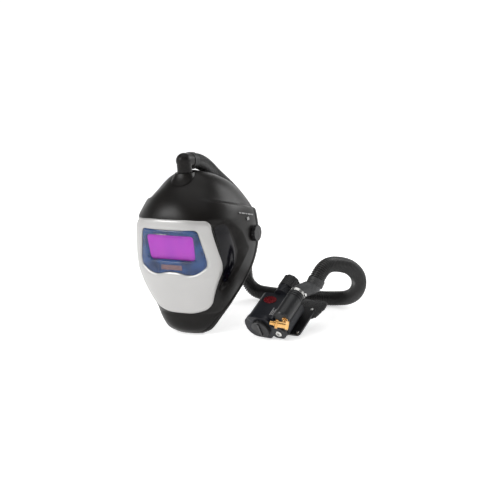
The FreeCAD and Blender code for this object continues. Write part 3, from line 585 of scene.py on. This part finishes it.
# ---- breathing tube ------------------------------------------------------------------------------
TUBE_ROUTE = [            # from the crown elbow, down behind the shield, along the floor and up in a loop
    (0, -38.1, 349.3), (0, -20.4, 346.5), (-10, 32, 327), (-28, 102, 292), (-16, 138, 259), (4, 158, 222),
    (17, 168, 190), (18, 172, 150), (9, 166, 110), (3, 161, 75), (6, 159, 43), (26, 158, 19), (62, 157, 16),
    (118, 152, 16), (176, 158, 16), (218, 164, 16), (257, 158, 23), (285, 138, 50), (297, 112, 86),
    (292, 80, 114), (280, 51, 127), (268, 24, 133), (259.5, 1.1, 125.9), (254.7, -10.6, 109.5)]
TUBE_R = 16.0
CREST_R = TUBE_R - 0.05
ROOT_R = 13.2
RING_PITCH = 3.9
RING_PROFILE = [(0.0, 0.0), (0.12, 0.05), (0.24, 0.62), (0.36, 0.96), (0.5, 1.0), (0.64, 0.96), (0.76, 0.62),
                (0.88, 0.05)]       # share of the pitch, share of the way from root to crest
TUBE_SIDES = 36


def route_points():
    """The tube's smooth centreline, read from a NURBS spline through its listed route."""
    curve = bpy.data.curves.new("route", "CURVE")
    curve.dimensions = "3D"
    curve.resolution_u = 16
    spline = curve.splines.new("NURBS")
    spline.points.add(len(TUBE_ROUTE) - 1)
    for point, place in zip(spline.points, TUBE_ROUTE):
        point.co = (*at(*place), 1)
    spline.order_u = 3
    spline.use_endpoint_u = True
    holder = bpy.data.objects.new("route", curve)
    mesh = bpy.data.meshes.new_from_object(holder)
    line = np.array([v.co for v in mesh.vertices])
    bpy.data.objects.remove(holder)
    return line


def breathing_tube():
    """A corrugated tube that follows the route."""
    line = route_points()
    gone = np.concatenate([[0], np.cumsum(np.linalg.norm(np.diff(line, axis=0), axis=1))])
    length = gone[-1]
    rings = round(length / (RING_PITCH * MM))
    stations = [((i + share) / rings, height) for i in range(rings) for share, height in RING_PROFILE]
    stations.append((1.0, 0.0))
    along = np.array([s[0] for s in stations]) * length
    radius = (ROOT_R + (CREST_R - ROOT_R) * np.array([s[1] for s in stations])) * MM
    soft = np.stack([np.interp(along, gone, line[:, i]) for i in range(3)], 1)
    for _ in range(12):
        soft[1:-1] = (soft[:-2] + 2 * soft[1:-1] + soft[2:]) / 4
    tangent = np.gradient(soft, axis=0)
    tangent /= np.linalg.norm(tangent, axis=1, keepdims=True)
    turn = np.linspace(0, 2 * math.pi, TUBE_SIDES, endpoint=False)
    side = Vector(tangent[0]).orthogonal().normalized()
    points = []
    for i in range(len(soft)):
        way = Vector(tangent[i])
        side = (side - way * side.dot(way)).normalized()
        other = way.cross(side)
        spoke = np.cos(turn)[:, None] * np.array(side) + np.sin(turn)[:, None] * np.array(other)
        points.append(soft[i] + spoke * radius[i])
    points = np.concatenate(points)
    faces = grid_faces(len(soft), TUBE_SIDES, True)
    faces += [tuple(range(TUBE_SIDES))[::-1], tuple(range(len(points) - TUBE_SIDES, len(points)))]
    tube = add_mesh("corrugated_tube", points, faces, HOSE_RUBBER)
    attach(tube, "shield")
    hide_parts("breathing_tube")


# ---- shield pieces -------------------------------------------------------------------------------
# Outlines on the front are X and height, and on the side Y and height.
FRONT_OUTLINE = [(-40, 251), (40, 251), (77, 247), (84, 239), (98, 160), (97, 142), (68, 70), (56, 58),
                 (30, 50), (-30, 50), (-56, 58), (-68, 70), (-97, 142), (-98, 160), (-84, 239), (-77, 247)]
LENS_OUTLINE = [(-62, 230), (62, 230), (76, 165), (74, 152), (53, 139), (34, 136), (12, 142), (-12, 142),
                (-34, 136), (-53, 139), (-74, 152), (-76, 165)]
WINDOW = [(-52.5, 166.5), (52.5, 166.5), (52.5, 217.5), (-52.5, 217.5)]
SIDE_WINDOW = [(-121, 226), (-101, 230), (-92, 222), (-77, 172), (-80, 146), (-97, 116), (-108, 128),
               (-112, 160)]
FRONT_CENTRE = (0.0, 186.0)
SIDE_CENTRE = (-98, 176)
STRIP_HALF = 24.0
STRIP_Z = 152
RING_COUNT = 360
SIDE_COUNT = 160
INLET_Y, INLET_R = -72.6, 15.2
BOLT_R = 5.2


def grow(outline, centre, amount):
    """An outline's points moved away from a centre inside it."""
    rel = outline - np.array(centre)
    return outline + rel / np.linalg.norm(rel, axis=1, keepdims=True) * amount


def edge_distances(inner, outer, shares):
    """How far each point of a collar lies from its inner and from its outer outline."""
    wide = np.linalg.norm(outer - inner, axis=1)[None]
    return shares[:, None] * wide, (1 - shares[:, None]) * wide


def shell():
    """The moulded outer shell, closed at the crown, walled, and cut for what goes through it."""
    columns = 261
    t = t_of_z(np.concatenate([np.linspace(0, 300, 140), np.linspace(300, 331, 51)[1:]]))
    level = level_curve(t)
    rim_y, rear = rim_curve(level[:, 0]), level[:, 3]
    end = np.where(rim_y < rear, side_theta(rim_y, t), math.pi / 2)
    theta = -math.pi / 2 + np.linspace(-1, 1, columns)[None] * (end + math.pi / 2)[:, None]
    levels = np.broadcast_to(t[:, None], theta.shape)
    bare = bare_surface(levels, theta)
    outer = bare + surface_normal(levels, theta) * relief(bare)[..., None]
    crown = outer[-1].mean(0) + np.array([0, 0, 0.4])
    points = to_world(np.concatenate([outer.reshape(-1, 3), crown[None]]))
    faces = grid_faces(len(t), columns)
    last = (len(t) - 1) * columns
    faces += [(last + c, last + c + 1, len(points) - 1) for c in range(columns - 1)]
    made = add_mesh("outer_shell", points, faces, SHELL_BLACK)
    weld(made, 0.05 * MM)
    modify(made, "SOLIDIFY", thickness=SHELL_WALL * MM, offset=-1, use_even_offset=False)
    apply_modifiers(made)
    cutter = shell_cutter()
    modify(made, "BOOLEAN", operation="DIFFERENCE", object=cutter, solver="EXACT")
    apply_modifiers(made)
    bpy.data.objects.remove(cutter)
    set_smooth(made, 35)
    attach(made, "shield")
    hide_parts("shield_shell")


def prism(outline, place, near, far, points, faces):
    """Adds a closed prism to a list of points and faces."""
    start = len(points)
    count = len(outline)
    points += [place(a, b, near) for a, b in outline] + [place(a, b, far) for a, b in outline]
    faces.append(tuple(range(start, start + count)))
    faces.append(tuple(range(start + count, start + 2 * count))[::-1])
    for i in range(count):
        j = (i + 1) % count
        faces.append((start + i, start + count + i, start + count + j, start + j))


def shell_cutter():
    """What is cut from the shell: the filter's opening, side windows, air inlet and pivot bores."""
    points, faces = [], []
    prism(rounded(LENS_OUTLINE, 9), lambda a, b, d: at(a, d, b), -190, -100, points, faces)
    circle = [(math.cos(a), math.sin(a)) for a in np.linspace(0, 2 * math.pi, 40, endpoint=False)]
    inlet = [(INLET_R * c, INLET_Y + INLET_R * s) for c, s in circle]
    bolt = [(BOLT_R * c, PIVOT_Z + BOLT_R * s) for c, s in circle]
    prism(inlet, at, 300, 350, points, faces)
    for side in (1, -1):
        prism(rounded(SIDE_WINDOW, 7), lambda a, b, d, s=side: at(s * d, a, b), 55, 150, points, faces)
        prism(bolt, lambda a, b, d, s=side: at(s * d, a, b), 60, 150, points, faces)
    mesh = bpy.data.meshes.new("cutter")
    mesh.from_pydata([tuple(p) for p in points], [], faces)
    cutter = bpy.data.objects.new("cutter", mesh)
    bpy.context.scene.collection.objects.link(cutter)
    set_smooth(cutter)
    return cutter


def silver_panel():
    """The painted front panel, with its crease and its rolled edges."""
    inner = grow(around(rounded(LENS_OUTLINE, 8), FRONT_CENTRE, RING_COUNT), FRONT_CENTRE, 0.6)
    outer = around(rounded(FRONT_OUTLINE, 12), FRONT_CENTRE, RING_COUNT)

    def top(shares, xz):
        from_inner, from_outer = edge_distances(inner, outer, shares)
        height = 0.3 + 2.0 * (1 - (1 - np.clip(from_outer / 4.5, 0, 1)) ** 2.2)
        height -= 2.6 * (1 - np.clip(from_inner / 5.0, 0, 1)) ** 2
        x, z = xz[..., 0], xz[..., 1]
        crease = 121 + 0.0022 * x ** 2
        height += 1.0 * np.exp(-np.abs(z - crease) / 9.0) * (np.abs(x) < 92)
        brow = smooth(0, 10, from_outer) * smooth(0, 10, from_inner)
        return height + 0.3 * brow

    def bottom(shares, xz):
        return np.full(xz.shape[:2], 0.25)

    made = ring_piece("silver_front_panel", inner, outer, top, bottom, SILVER)
    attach(made, "shield")
    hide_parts("silver_front")


def lens_surround():
    """The blue surround of the filter, with a notch over the solar strip."""
    inner = around(rounded(WINDOW, 8), FRONT_CENTRE, RING_COUNT)
    outer = grow(around(rounded(LENS_OUTLINE, 8), FRONT_CENTRE, RING_COUNT), FRONT_CENTRE, -0.3)

    def top(shares, xz):
        from_inner, from_outer = edge_distances(inner, outer, shares)
        height = 1.2 - 1.6 * (1 - np.clip(from_outer / 3.0, 0, 1)) ** 2
        height = height - 4.6 * (1 - np.clip(from_inner / 3.4, 0, 1)) ** 1.4
        x, z = xz[..., 0], xz[..., 1]
        notch = smooth(0, 1.5, STRIP_HALF - np.abs(x)) * smooth(0, 1.5, 5.4 - np.abs(z - STRIP_Z))
        height = height - 1.7 * notch
        lip = np.exp(-((from_inner - 4.6) / 1.1) ** 2)
        return height + 0.25 * lip

    def bottom(shares, xz):
        return np.minimum(top(shares, xz) - 1.0, -1.2)

    made = ring_piece("filter_surround", inner, outer, top, bottom, LENS_BLUE)
    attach(made, "shield")
    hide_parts("lens_frame")


def side_windows():
    """The dark side windows, tucked behind the shell's edge, further at the front than at the rear."""
    outline = around(rounded(SIDE_WINDOW, 7), SIDE_CENTRE, SIDE_COUNT)
    tuck = 8.5 - 5.1 * smooth(-97, -84, outline[:, :1])
    outline = grow(outline, SIDE_CENTRE, tuck)

    def top(shares):
        return -RECESS_DEEP + 0.7 - 0.4 * shares ** 6

    for name, side in (("left", 1), ("right", -1)):
        made = patch_piece("side_glass_" + name, outline, SIDE_CENTRE, top, 1.6, SIDE_GLASS,
                           lambda yz, out, s=side: on_side(yz, s, out))
        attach(made, "shield")
        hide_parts("side_window_" + name)


# ---- soft pieces ---------------------------------------------------------------------------------
VOXEL = 4.0
PUFF_PRESSURE = 4.0
PUFF_FRAMES = 20


def puff(made, cap):
    """Swells a closed mesh by cloth simulation, no point moving further than cap, then smooths it."""
    modify(made, "REMESH", mode="VOXEL", voxel_size=VOXEL * MM)
    apply_modifiers(made)
    before = np.array([v.co for v in made.data.vertices])
    cloth = modify(made, "CLOTH")
    cloth.settings.use_pressure = True
    cloth.settings.uniform_pressure_force = PUFF_PRESSURE
    cloth.settings.effector_weights.gravity = 0
    cloth.settings.quality = 5
    cloth.point_cache.frame_end = PUFF_FRAMES
    for step in range(1, PUFF_FRAMES + 1):
        bpy.context.scene.frame_set(step)
    apply_modifiers(made)
    bpy.context.scene.frame_set(1)
    after = np.array([v.co for v in made.data.vertices])
    move = after - before
    far = np.linalg.norm(move, axis=1, keepdims=True)
    after = before + move * np.minimum(1, cap * MM / np.maximum(far, 1e-9))
    made.data.vertices.foreach_set("co", after.astype(np.float32).ravel())
    modify(made, "SUBSURF", levels=1, render_levels=1)
    apply_modifiers(made)
    made.data.materials.clear()
    return made


def crease_lines(made, inverse, lines, depth, width):
    """Presses channels into a soft mesh. A line gives a point's distance from it in millimetres."""
    mesh = made.data
    for vertex, normal in zip(mesh.vertices, [v.normal.copy() for v in mesh.vertices]):
        local = inverse @ vertex.co / MM
        press = max(math.exp(-(line(local) / width) ** 2) for line in lines)
        vertex.co -= normal * press * depth * MM
    mesh.update()


def prism_object(name, outline, place, near, far, material):
    """A closed prism as an object of its own."""
    points, faces = [], []
    prism(outline, place, near, far, points, faces)
    return add_mesh(name, points, faces, material)


def belt():
    """The belt's pad against the back plate, and the rest of the belt folded under the unit."""
    inverse = UNIT_PLACE.inverted()
    pad_outline = rounded([(-11, 75), (88, 75), (99, 113), (96, 129), (-11, 129)], 14)
    pad = prism_object("belt_cushion", pad_outline, on_unit, -12.6, -6.2, BELT_CLOTH)
    puff(pad, 3.0)
    pad.data.materials.append(BELT_CLOTH)
    crease_lines(pad, inverse, [lambda p: p.y - 81, lambda p: p.y - 123, lambda p: p.x + 5], 0.9, 1.3)
    set_smooth(pad, 70)
    floor_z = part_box("belt_roll")[0].z
    outline = rounded([(-13, 87), (25, 87), (25, 125), (-13, 125)], 10)
    roll = prism_object("belt_fold", outline, on_unit, -88, -17, BELT_CLOTH)
    floor_cut = bmesh.new()
    floor_cut.from_mesh(roll.data)
    everything = floor_cut.verts[:] + floor_cut.edges[:] + floor_cut.faces[:]
    bmesh.ops.bisect_plane(floor_cut, geom=everything, plane_co=(0, 0, floor_z + 2.5 * MM),
                           plane_no=(0, 0, 1), clear_inner=True)
    bmesh.ops.holes_fill(floor_cut, edges=floor_cut.edges)
    floor_cut.to_mesh(roll.data)
    floor_cut.free()
    puff(roll, 2.5)
    roll.data.materials.append(BELT_CLOTH)
    folds = [lambda p, depth=depth: p.z + depth for depth in range(24, 88, 8)]
    crease_lines(roll, inverse, folds, 1.9, 1.5)
    for vertex in roll.data.vertices:
        vertex.co.z = max(vertex.co.z, floor_z + 0.1 * MM)
    set_smooth(roll, 70)
    for made, node in ((pad, "belt_pad"), (roll, "belt_roll")):
        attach(made, "shield")
        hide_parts(node)


BAND_TURN = Matrix.Rotation(math.radians(-20), 4, "X")
BAND_A, BAND_B = 81.0, 94.0
FRONT_ARC = (math.radians(-158), math.radians(-22))
REAR_ARC = (math.radians(42), math.radians(138))


def on_band(x, y, z):
    """A point of the headband's own frame, centred in its oval and tilted, in metres."""
    return Matrix.Translation(at(0, 4, PIVOT_Z)) @ BAND_TURN @ (Vector((x, y, z)) * MM)


def band_pad(name, start, end, outside, thick, half_high, segments, material, body, node):
    """A quilted pad along the headband's oval between two angles, pillowed between its stitches."""
    columns, rows = 30 * segments, 22
    points = []
    for face_side in (0, 1):
        for r in range(rows + 1):
            v = -1 + 2 * r / rows
            for c in range(columns + 1):
                u = c / columns
                angle = start + (end - start) * u
                cell = abs(math.sin(math.pi * segments * u)) ** 0.35
                close = (1 - abs(v) ** 3.2) ** 0.5
                fade = min(1, 14 * min(u, 1 - u)) ** 0.5
                full = thick * close * fade * (0.68 + 0.32 * cell)
                out = outside - (full if face_side else 0) - thick * 0.12 * (1 - close * fade)
                a, b = BAND_A + out, BAND_B + out
                points.append(on_band(a * math.cos(angle), b * math.sin(angle), v * half_high))
    made = add_mesh(name, points, two_sided_faces(rows + 1, columns + 1), material)
    weld(made, 0.02 * MM)
    set_smooth(made, 75)
    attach(made, body)
    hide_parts(node)


def face_seal():
    """A gathered cloth-covered strip inside the lower rim."""
    rows, columns = 34, 321
    z_start, z_end = 9, 158.0
    around_share = np.linspace(-1, 1, columns)
    points = []
    z = z_start + (z_end - z_start) * np.abs(around_share) ** 0.72
    t = t_of_z(z)
    shell_front = level_curve(t)[:, 2]
    for thick in (0.0, 1.0):
        for r in range(rows):
            across = r / (rows - 1)
            y = np.maximum(rim_curve(z) - 7 - across * 34, shell_front + 9)
            gather = 0.8 * np.sin(around_share * 150) * math.sin(math.pi * across)
            pillow = 2.4 * math.sin(math.pi * across) ** 0.5
            out = -(4.0 + thick * (0.7 + pillow) + gather * thick)
            side = side_theta(y, t)
            bare = bare_surface(t, side) + surface_normal(t, side) * out[:, None]
            bare[:, 0] *= np.sign(around_share + 1e-9)
            points.append(bare)
    points = to_world(np.concatenate(points))
    made = add_mesh("chin_seal", points, two_sided_faces(rows, columns), SEAL_CLOTH)
    set_smooth(made, 80)
    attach(made, "shield")
    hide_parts("face_seal")


# ---- marks ---------------------------------------------------------------------------------------
def marks():
    """Plain bars where the real object is printed."""
    for name, side in (("left", 1), ("right", -1)):
        bars = [(-50, 6), (-41, 11), (-27, 5), (-19, 12), (-4, 8)]
        shapes = [[(y + c, 246 - 0.28 * (y + c + 50) + d) for c, d in ((0, 0), (w, 0), (w, 2.6), (0, 2.6))]
                  for y, w in bars]
        shapes.append([(-27, 227), (-18, 227), (-18, 233), (-27, 233)])
        for i, corners in enumerate(shapes):
            middle = np.array(corners, float).mean(0)
            outline = around(rounded(corners, 0.8), middle, 32)
            made = patch_piece("side_mark_%s_%d" % (name, i), outline, middle, lambda s: 1.95 + 0 * s, 0.6,
                               MARK_WHITE, lambda yz, out, s=side: on_side(yz, s, out))
            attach(made, "shield")
    for i, (x, w) in enumerate(((-24, 4), (-18, 9), (-7, 5))):
        corners = [(x, 220.6), (x + w, 220.6), (x + w, 222.6), (x, 222.6)]
        middle = np.array(corners, float).mean(0)
        made = patch_piece("front_mark_%d" % i, around(rounded(corners, 0.6), middle, 28), middle,
                           lambda s: 2.75 + 0 * s, 0.25, MARK_WHITE, on_front)
        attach(made, "shield")


# ---- CAD nodes that stay -------------------------------------------------------------------------
NODE_LOOKS = {            # node: material, bevel in millimetres
    "crown_cowl": (SHELL_BLACK, 1.0), "air_duct": (SHELL_BLACK, 0.3), "inlet_elbow": (SHELL_BLACK, 0.6),
    "outer_protection_plate": (CLEAR, 0), "inner_protection_plate": (CLEAR, 0),
    "filter_glass": (GLASS_PURPLE, 0.4), "filter_housing": (INNER_BLACK, 0.6),
    "housing_cover": (INNER_BLACK, 0.3), "battery_holders": (INNER_BLACK, 0.3),
    "headband_front": (INNER_BLACK, 0.4), "headband_rear": (INNER_BLACK, 0.4),
    "crown_straps": (INNER_BLACK, 0.4), "ratchet_housing": (INNER_BLACK, 0.7),
    "ratchet_knob": (KNOB_BLACK, 0.5), "ratchet_pinion": (INNER_BLACK, 0.2),
    "tilt_brackets": (INNER_BLACK, 0.5), "shade_button": (KNOB_BLACK, 0.3),
    "sensitivity_button": (KNOB_BLACK, 0.3), "delay_button": (KNOB_BLACK, 0.3),
    "circuit_board": (BOARD_GREEN, 0.1), "solar_strip": (SOLAR_RED, 0.2),
    "arc_sensors": (SIDE_GLASS, 0.3), "coin_cells": (STEEL, 0.3), "pivot_knob_left": (KNOB_BLACK, 0.6),
    "pivot_knob_right": (KNOB_BLACK, 0.6), "pivot_bolt_left": (STEEL, 0.3),
    "pivot_bolt_right": (STEEL, 0.3), "control_knob": (KNOB_BLACK, 0.5), "relief_knob": (KNOB_BLACK, 0.9),
    "tube_cuff_top": (CUFF_BLACK, 0.5), "tube_cuff_bottom": (CUFF_BLACK, 0.5),
    "hose_outlet": (OUTLET_GREY, 0.5), "unit_housing": (UNIT_BLACK, 1.2), "end_cap": (UNIT_BLACK, 1.6),
    "relief_collar": (UNIT_BLACK, 0.4), "silencer": (STEEL, 0.5), "barrel": (BARREL_GREY, 0.4),
    "back_plate": (PLATE_BLACK, 0.6), "steel_clamp": (STEEL, 0.4), "unit_screws": (STEEL, 0.2),
    "regulator_spring": (STEEL, 0.2), "coupling_body": (BRASS, 0.6), "coupling_sleeve": (BRASS, 0.3),
    "supply_nipple": (BRASS, 0.2), "valve_seat": (BRASS, 0.2), "charcoal_cartridge": (CHARCOAL, 0.3),
    "diaphragm": (CUFF_BLACK, 0.3), "oval_badge": (BADGE_RED, 0.45), "marking_bars": (MARK_WHITE, 0.1),
}


def dress_nodes():
    """Gives each CAD node that shows its material, welds its tessellation and breaks its sharp edges."""
    for name, (material, bevel) in NODE_LOOKS.items():
        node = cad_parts[name]
        node.data.materials.clear()
        node.data.materials.append(material)
        modify(node, "WELD", merge_threshold=0.00001)
        if bevel:
            modify(node, "BEVEL", width=bevel * MM, segments=3, limit_method="ANGLE",
                   angle_limit=math.radians(38), use_clamp_overlap=True, harden_normals=False)
        for polygon in node.data.polygons:
            polygon.use_smooth = True
        modify(node, "WEIGHTED_NORMAL", keep_sharp=True)


# ---- surroundings --------------------------------------------------------------------------------
KEY_POWER, FILL_POWER, TOP_POWER, BACK_POWER = 24, 3, 14, 14
SKY = 0.20
FLOOR_GLOW = 0.55
SWEEP_WIDE, SWEEP_CURVE, SWEEP_HIGH = 3.6, 1.4, 2.0        # metres
SWEEP_SIDES = 96
LIGHT_AIM = (60, 0, 150)


def area_light(name, place, size, power):
    """A round white light at a place in the shield's own frame, turned to the object."""
    data = bpy.data.lights.new(name, "AREA")
    data.shape = "DISK"
    data.size = size
    data.energy = power
    light = bpy.data.objects.new(name, data)
    bpy.context.scene.collection.objects.link(light)
    light.location = at(*place)
    light.rotation_mode = "QUATERNION"
    light.rotation_quaternion = (at(*LIGHT_AIM) - at(*place)).to_track_quat("-Z", "Y")


def studio():
    """A pale round sweep, soft lights and an even sky."""
    floor_z = CAD_BOX[0][2] - 0.0002
    profile = [(0.001, 0), (1.2, 0), (2.4, 0)]
    for a in np.linspace(0, math.pi / 2, 14):
        profile.append((SWEEP_WIDE + SWEEP_CURVE * math.sin(a), SWEEP_CURVE - SWEEP_CURVE * math.cos(a)))
    profile.append((SWEEP_WIDE + SWEEP_CURVE, SWEEP_HIGH))
    turn = np.linspace(0, 2 * math.pi, SWEEP_SIDES, endpoint=False)
    points = [(r * math.cos(a), r * math.sin(a), floor_z + z) for r, z in profile for a in turn]
    paper = finish("paper_floor", (0.90, 0.90, 0.90), (0.93, 0.93, 0.93), 0.9, patches=2.0, speckle=60.0,
                   bump=0.0, specular=0.1, glow=FLOOR_GLOW)
    floor = add_mesh("studio_floor", points, grid_faces(len(profile), SWEEP_SIDES, True), paper)
    area_light("key", (-1000, -1500, 1500), 0.9, KEY_POWER)
    area_light("fill", (1500, -1300, 500), 1.4, FILL_POWER)
    area_light("top", (100, 100, 2100), 2.2, TOP_POWER)
    area_light("back", (1100, 1500, 1100), 1.0, BACK_POWER)
    world = bpy.data.worlds.new("studio")
    world.use_nodes = True
    world.node_tree.nodes["Background"].inputs[0].default_value = (1, 1, 1, 1)
    world.node_tree.nodes["Background"].inputs[1].default_value = SKY
    bpy.context.scene.world = world
    bpy.context.scene.view_settings.view_transform = "Standard"


# ---- run -----------------------------------------------------------------------------------------
make_camera()
breathing_tube()
shell()
silver_panel()
lens_surround()
side_windows()
belt()
band_pad("brow_sweatband", *FRONT_ARC, -2.5, 8.4, 16.5, 5, FOAM_BLACK, "headgear", "sweatband")
band_pad("nape_cushion", *REAR_ARC, -0.1, 7.6, 19.5, 3, FOAM_BLACK, "rear_band", "nape_pad")
face_seal()
marks()
dress_nodes()
studio()
